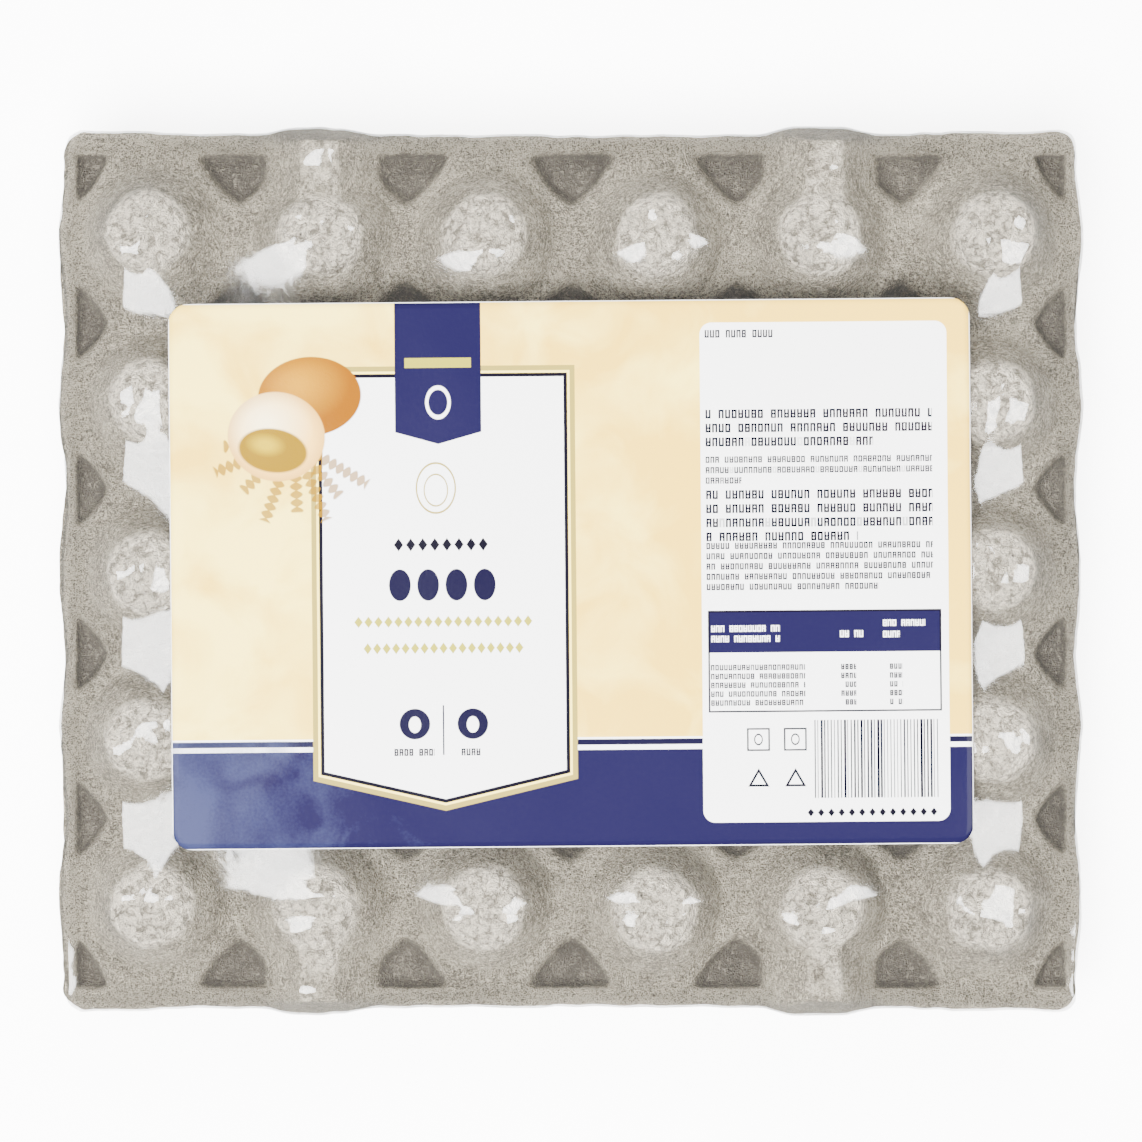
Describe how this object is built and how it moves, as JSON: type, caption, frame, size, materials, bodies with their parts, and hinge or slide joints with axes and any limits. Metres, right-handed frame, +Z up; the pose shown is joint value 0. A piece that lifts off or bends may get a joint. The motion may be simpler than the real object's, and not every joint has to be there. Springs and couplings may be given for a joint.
{
  "type": "egg carton with eggs",
  "caption": "Shut egg pack: a moulded pulp tray with a second tray turned over as its lid, in clear shrink film with a printed label on top.",
  "frame": {"origin": "on the ground under the middle of the pack", "axes": "+Z up from the cup bottoms it rests on to the label, +X along the longer side to the right of the label"},
  "size_m": [0.2978, 0.2576, 0.0675],
  "materials": {
    "pulp": "rough moulded grey-beige pulp",
    "clear_film": "clear glossy shrink film",
    "label_print": "printed, satin"
  },
  "bodies": {
    "root": {"lower_tray": "pulp", "upper_tray": "pulp", "film": "clear_film", "label": "label_print"}
  },
  "joints": []
}
